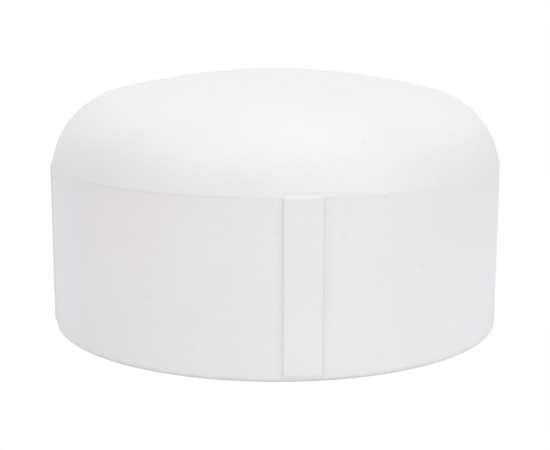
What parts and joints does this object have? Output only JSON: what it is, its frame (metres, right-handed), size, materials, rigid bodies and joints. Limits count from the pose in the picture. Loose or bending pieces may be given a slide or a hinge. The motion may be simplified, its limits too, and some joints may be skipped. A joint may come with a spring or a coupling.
{
  "type": "pipe cap",
  "caption": "Domed slip-on cap that closes the end of a plastic pipe: a round socket skirt with raised grip ribs under a low, rounded crown.",
  "frame": {"origin": "centre of the open rim, in the plane that the cap stands on", "axes": "+Z along the bore, from the mouth up to the crown; the grip ribs are centred on +X, -X, +Y and -Y"},
  "size_m": [0.1278, 0.1278, 0.0719],
  "materials": {
    "white_plastic": "satin moulded rigid plastic, off-white, with a fine even texture"
  },
  "bodies": {
    "root": {"cap": "white_plastic"}
  },
  "joints": []
}
